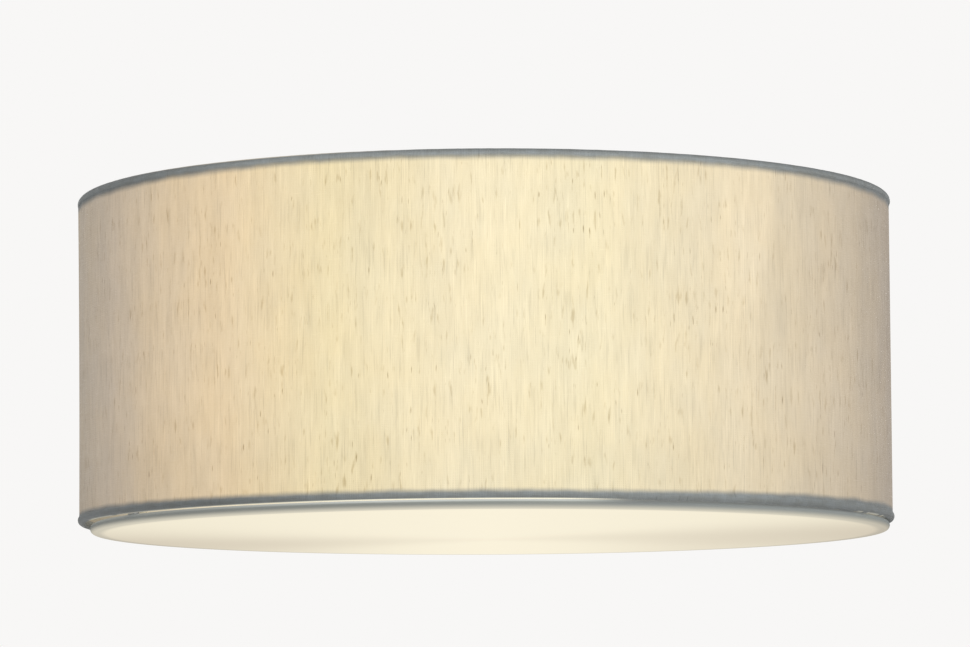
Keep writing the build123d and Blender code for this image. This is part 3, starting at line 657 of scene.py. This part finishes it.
film = Finish("opal_film", Specular_IOR_Level=0.0, Emission_Strength=1.0)
film_x, film_y, film_z = place_on(film)
beside = film_x - hoop_middle / MM
off_centre = from_axis(beside, film_y)
off_middle = unsigned(beside * (1 / HALF_FILM))
print("hoop radius", round(hoop_radius / MM, 2), "middle at x", round(hoop_middle / MM, 2), "mm")

# %% [markdown]
# The glow is built in three steps: the bow tie, whose wedges lie a little behind the middle and lean, then
# a faint haze, which every opal film has, and then the place where the flat part ends and the rim curls up.

# %% Glow of the diffuser
WEDGE_BACK, WEDGE_LEAN = 54, 0.22
wedge = bell(film_y, WEDGE_BACK - film_x * WEDGE_LEAN, off_middle * 115 + 12) * (off_middle * 0.80 + 0.10)
far_side = step(film_y, 0.0, 100.0) * step(off_middle, 0.12, 0.66) * 0.40
dim = 1 - (1 - wedge) * (1 - far_side)
haze = cloud((film_x, film_y), (26.0, 26.0), seed=4.0, detail=3.0)
film_grey = screen(150, 154, 151)
film_light = (blend(dim, screen(250, 243, 222), screen(221, 212, 194))
              * (haze * 0.02 + 1.085 - off_middle * 0.085))
flat_part = step(off_centre, hoop_radius / MM - 1.5, hoop_radius / MM - 6.5)
rim_top, rim_foot = film_high.z / MM, film_low.z / MM
curl = step(film_z, rim_foot + 2.7, rim_foot - 1.7)
lit_film = curl + (1 - curl) * flat_part
spill = step(film_z, rim_top - 1.2, rim_top - 0.2) * step(film_x, 74.0, 30.0)
catchlight = (step(film_z, rim_foot + 1.6, rim_top - 0.4) * 0.13
              + spill * (step(film_x, -170.0, -20.0) * 0.30 + 0.04))
finishes["opal_film"] = film.paint({
    "Base Color": blend(haze, film_grey, screen(147, 151, 148)),
    "Emission Color": blend(lit_film, catchlight * (0.96, 1.0, 0.98), extra(film_light, film_grey)),
    "Roughness": haze * 0.12 + 0.42})
print("rim from", round(rim_top, 2), "down to", round(rim_foot, 2), "mm")

# %% [markdown]
# Three pieces are thin sheets: the linen cover, its lap and the diffuser's film. A thin sheet could be
# modelled with both its faces, but one face is enough, because the Solidify modifier gives it its thickness
# and closes its edges. The bulbs' caps need the same ending, so it is a helper of its own.

# %% Thickness for a sheet
def thickened(mesh, name, thickness, offset=0.0):
    """Makes a smooth object of the edited mesh, as thick as asked."""
    data = bpy.data.meshes.new(name)
    mesh.to_mesh(data)
    mesh.free()
    data.polygons.foreach_set("use_smooth", [True] * len(data.polygons))
    made = in_place(data, name)
    solidify = made.modifiers.new("thickness", "SOLIDIFY")
    solidify.thickness, solidify.offset = thickness, offset
    return made


print("a thickened sheet is smooth and keeps its middle where the face was")

# %% [markdown]
# Each sheet is one line turned about an upright axis, as a real one is bent round. The Screw modifier could
# turn a line too, but in mesh code each point can also move a little, as cloth does.

# %% Turning a thin sheet
def turned_sheet(name, line, steps, thickness, ripple=None, start=0.0, sweep=math.tau, middle=0.0):
    """A sheet whose middle line (radius, height) turns about the upright axis through x = middle."""
    mesh = bmesh.new()
    closed = sweep == math.tau
    columns = []
    for column in range(steps if closed else steps + 1):
        azimuth = start + sweep * column / steps
        points = []
        for index, (radius, height) in enumerate(line):
            ahead, behind = line[min(index + 1, len(line) - 1)], line[max(index - 1, 0)]
            run = Vector((ahead[0] - behind[0], ahead[1] - behind[1])).normalized()
            away, outward = ripple(azimuth, index, height) if ripple else (0.0, 0.0)
            radius, height = radius + run.y * away + outward, height - run.x * away
            around_x, around_y = radius * math.cos(azimuth), radius * math.sin(azimuth)
            points.append(mesh.verts.new((middle + around_x, around_y, height)))
        columns.append(points)
    for first, second in zip(columns, columns[1:] + columns[:1] if closed else columns[1:]):
        for low in range(len(line) - 1):
            mesh.faces.new((first[low], second[low], second[low + 1], first[low + 1]))
    bmesh.ops.remove_doubles(mesh, verts=mesh.verts, dist=1e-7)
    return thickened(mesh, name, thickness)


COVER_STEPS, FILM_STEPS = ((720, 360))
print("steps round the drum", COVER_STEPS, "and round the film", FILM_STEPS)

# %% [markdown]
# The cover's line runs from the lower tucked edge, round the lower wire, up the wall and round the upper
# wire. It could be drawn by hand, but two arcs and a straight run follow the wires exactly. The cloth lies
# a hair's breadth off them, which leaves room for the glue, and its last few millimetres are tucked behind.

# %% Line of the linen cover
def arc(radius, height, bend, first, last, count):
    """Points of a curl round a wire, from angle first to angle last in degrees."""
    turns = [math.radians(first + (last - first) * index / count) for index in range(count + 1)]
    return [(radius + bend * math.cos(turn), height + bend * math.sin(turn)) for turn in turns]


GLUE, TUCK, LEAVE, WALL_STARTS = 0.15 * MM, 220, 44, 2.1 * MM
hem_bend = wire_radius + GLUE + cloth / 2
wall_middle = wall_radius - cloth / 2
lower = arc(ring_radius, bottom_ring_z, hem_bend, -TUCK, LEAVE, 22)
upper = arc(ring_radius, top_ring_z, hem_bend, -LEAVE, TUCK, 22)
wall_low, wall_high = bottom_ring_z + WALL_STARTS, top_ring_z - WALL_STARTS
wall = [(wall_middle, wall_low + (wall_high - wall_low) * row / 30) for row in range(31)]
print("hem bends at", round(hem_bend / MM, 2), "mm, wall", round((wall_high - wall_low) / MM, 1), "mm high")

# %% [markdown]
# A plain cylinder would look machined, so each point of the cloth moves a little along the sheet's own
# normal: broad and slight on the wall, in short puckers on the hems, where the cloth was pulled over the
# wire. A cloth simulation would take minutes to say the same, because the linen is glued to a stiff liner.
# The lower hem is fuller on the right, and the upper left of the shade leans out by half a millimetre, as
# the real one does.

# %% How the cloth lies
WAVE_DEPTH, PUCKER_DEPTH, PUCKERS_AROUND, PUCKERS_UP, LEAN_OF_HEM = 0.15, 0.12, 34, 60, 0.55


def limited(value):
    """The value, kept between 0 and 1."""
    return min(1.0, max(0.0, value))


def cloth_ripple(azimuth, index, height):
    """How far a point of the cover stands off its true place: along its normal, and straight outwards."""
    to_right, to_back = math.cos(azimuth), math.sin(azimuth)
    broad = noise.noise(Vector((to_right, to_back, height * 2)) * 3) * WAVE_DEPTH * MM
    at_pucker = Vector((to_right * PUCKERS_AROUND, to_back * PUCKERS_AROUND, height * PUCKERS_UP))
    pucker = noise.noise(at_pucker) * PUCKER_DEPTH * MM
    in_hem = index < len(lower) or index >= len(lower) + len(wall)
    full = limited(to_right * 2.5) if index < len(lower) else 0.0
    risen = (height - wall_low) / (wall_high - wall_low)
    to_left = max(0.0, -to_right) ** 6
    flare = to_left * limited(risen) ** 2 * (LEAN_OF_HEM if in_hem else 1.0) * MM
    return (abs(pucker) * (2.4 * full - 1) + 0.1 * MM * full, flare) if in_hem else (broad, flare)


leaning = cloth_ripple(math.pi, len(lower) + len(wall), wall_high)[1]
print("upper left leans out by", round(leaning / MM, 2), "mm")

# %% [markdown]
# The cover and its lap are made now. They ride on the shade's body, they share the linen's finish, and the
# cover takes the place of the plain CAD linen. The cloth is cut once round the drum plus the lap, by the
# wall plus the two rolls. The lap stops short of both hems.

# %% The linen cover
LAP_INSET = 0.6 * MM
cover = turned_sheet("linen_cover", lower + wall + upper, COVER_STEPS, cloth, cloth_ripple,
                     start=seam_azimuth)
cover.data.materials.append(finishes["linen"])
lap_line = [(wall_radius + cloth / 2,
             wall_low + LAP_INSET + (wall_high - wall_low - 2 * LAP_INSET) * row / 24) for row in range(25)]
lap = turned_sheet("linen_lap", lap_line, 8, cloth, start=seam_azimuth, sweep=LAP_WIDTH * MM / wall_radius)
lap.data.materials.append(finishes["linen"])
for piece in (cover, lap):
    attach(piece, "shade")
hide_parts("shade_linen")

# %% [markdown]
# The diffuser's film is turned the same way: flat from the middle out, then up round its own wire. A plain
# disc with a thick edge would do from far away, but up close the rim is a curl, open on its inner side. The
# film hangs a little to the right of the drum's middle, as the real one has settled on its magnets.

# %% The diffuser film
film_thick = 0.5 * MM
film_bend = hoop_wire + GLUE + film_thick / 2
flat = [(hoop_radius * ring / 16, hoop_z - film_bend) for ring in range(16)]
opal = turned_sheet("opal_sheet", flat + arc(hoop_radius, hoop_z, film_bend, -90, 104, 24), FILM_STEPS,
                    film_thick, middle=hoop_middle)
opal.data.materials.append(finishes["opal_film"])
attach(opal, "diffuser")
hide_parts("diffuser_film")
print("film", round(film_thick / MM, 2), "mm thick, bends at", round(film_bend / MM, 2), "mm")

# %% [markdown]
# The CAD bulbs have plain grooves for a thread. A real screw cap is rolled from thin plated brass into one
# long rounded helix. A spiral cut out of a tube would leave ragged faces, so the depth of the thread is
# worked out for every point, from the height along the axis and the angle round it. That gives a true
# right-handed thread, which fades out at both ends.

# %% The rolled thread
PITCH, THREAD_DEPTH = 3.629 * MM, 0.75 * MM
THREAD_STARTS, THREAD_ENDS, FADE_LENGTH = 0.04, 0.74, 0.08


def below_crest(share, along, turn):
    """How deep the cap lies below the thread's crest, in thread depths, at a share of the cap's length."""
    fade = limited((share - THREAD_STARTS) / FADE_LENGTH) * limited((THREAD_ENDS - share) / FADE_LENGTH)
    groove = 0.5 - 0.5 * math.cos(math.tau * along / PITCH - turn)
    return groove * fade + max(0.0, THREAD_STARTS - share) * 25 + (1 - fade) * 0.12


print("thread pitch", round(PITCH / MM, 3), "mm, depth", round(THREAD_DEPTH / MM, 2), "mm")

# %% [markdown]
# Each cap is a tube of rows and columns of points in the room that the CAD cap holds. Solidify gives it its
# thin metal on the inside only, so its outside keeps the CAD cap's size.

# %% Threaded bulb caps
ROWS, COLUMNS, CAP_METAL = 88, 72, 0.3 * MM


def screw_cap(name, node):
    """A bulb's cap with its rolled thread, in the room that the CAD cap holds."""
    low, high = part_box(node)
    crest_radius, centre_z = (high.x - low.x) / 2, (low.z + high.z) / 2
    near, far = sorted((low.y, high.y), key=abs)
    mesh = bmesh.new()
    rows = []
    for row in range(ROWS + 1):
        share = row / ROWS
        along = near + (far - near) * share
        points = []
        for column in range(COLUMNS):
            turn = math.tau * column / COLUMNS
            radius = crest_radius - THREAD_DEPTH * below_crest(share, along, turn)
            points.append(mesh.verts.new((radius * math.sin(turn), along,
                                          centre_z + radius * math.cos(turn))))
        rows.append(points)
    for first, second in zip(rows, rows[1:]):
        for column in range(COLUMNS):
            following = (column + 1) % COLUMNS
            mesh.faces.new((first[column], first[following], second[following], second[column]))
    bmesh.ops.recalc_face_normals(mesh, faces=mesh.faces)
    made = thickened(mesh, name, CAP_METAL, offset=-1.0)
    made.data.materials.append(finishes["bulb_cap_metal"])
    return made


for end in ("front", "rear"):
    cap = screw_cap(f"threaded_cap_{end}", f"bulb_{end}_cap")
    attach(cap, f"bulb_{end}")
    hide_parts(f"bulb_{end}_cap")
    print(cap.name, len(cap.data.vertices), "points")

# %% [markdown]
# Every CAD node that is still shown gets its finish. The record says which finish each node has, so one
# short loop does it, and a node with no finish here would stop the script.

# %% Finishes for the CAD nodes
for part in frame["record"]["subparts"]:
    for holder in frame["nodes"][part["node"]].material_slots:
        holder.material = finishes[part["material_slot"]]
